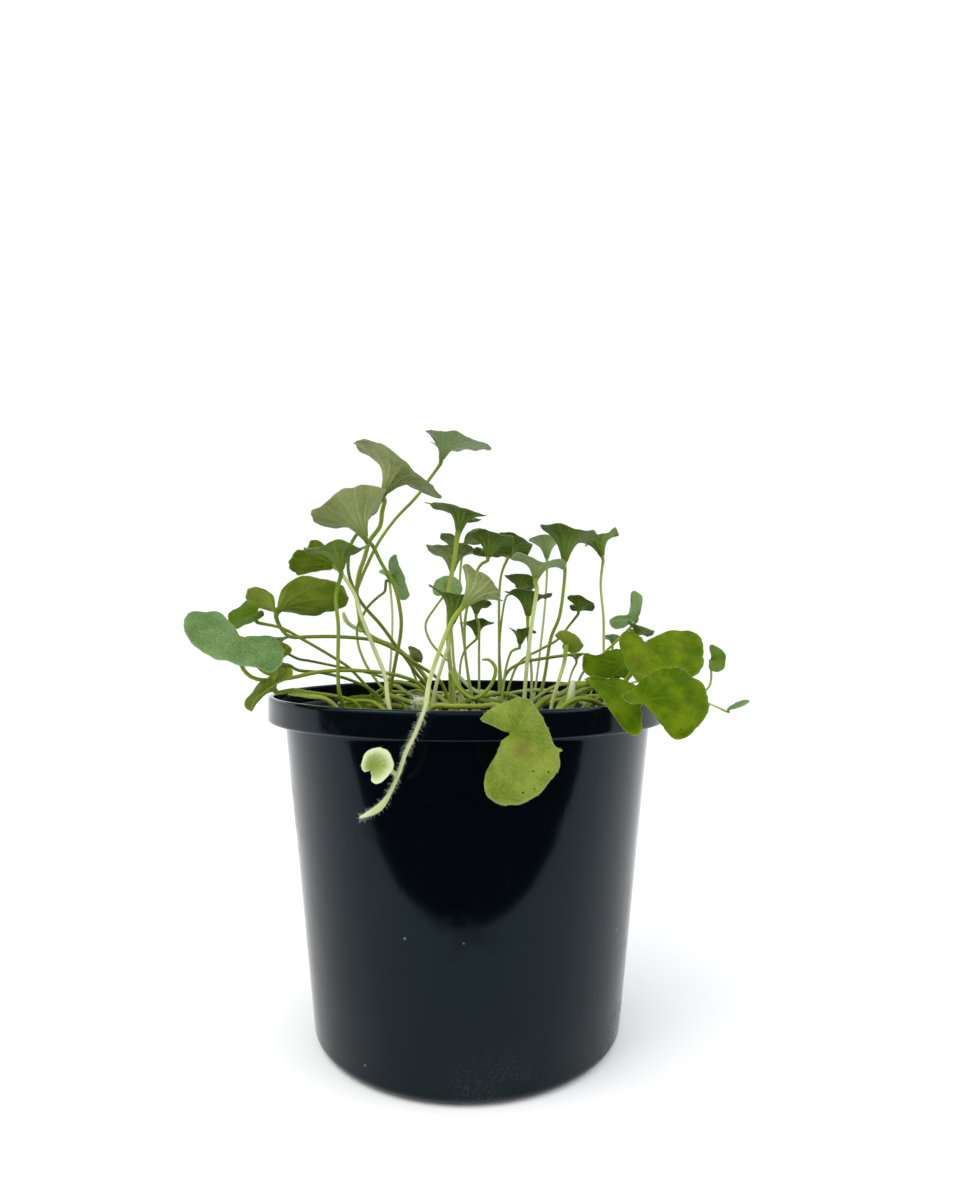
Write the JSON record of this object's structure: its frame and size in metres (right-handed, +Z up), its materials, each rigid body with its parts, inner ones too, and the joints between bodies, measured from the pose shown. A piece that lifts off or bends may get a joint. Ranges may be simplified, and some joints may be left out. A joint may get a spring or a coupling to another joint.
{
  "type": "potted silver dichondra",
  "caption": "Young silver dichondra with kidney-shaped leaves on thin arching stems, growing in a round black nursery pot with a stepped collar.",
  "frame": {"origin": "centre of the pot's foot ring, on the ground plane", "axes": "+Z up along the pot's axis, -Y towards the viewer, +X to the viewer's right"},
  "size_m": [0.1937, 0.1517, 0.2109],
  "materials": {
    "pot_plastic": "smooth black moulded plastic",
    "potting_mix": null,
    "leaf_green": null
  },
  "bodies": {
    "root": {"nursery_pot": "pot_plastic", "potting_mix": "potting_mix", "left_front_spray": "leaf_green", "left_long_spray": "leaf_green", "left_back_spray": "leaf_green", "tall_shoot": "leaf_green", "mid_spray": "leaf_green", "front_runner": "leaf_green", "bright_leaf": "leaf_green", "centre_front_spray": "leaf_green", "centre_back_spray": "leaf_green", "centre_spray": "leaf_green", "centre_right_spray": "leaf_green", "back_right_spray": "leaf_green", "right_tall_spray": "leaf_green", "right_front_spray": "leaf_green", "right_back_spray": "leaf_green", "right_cluster": "leaf_green", "right_far_spray": "leaf_green", "hanging_leaf": "leaf_green", "runner_front": "leaf_green", "runner_right": "leaf_green", "runner_right_back": "leaf_green", "runner_left_stub": "leaf_green"}
  },
  "joints": []
}
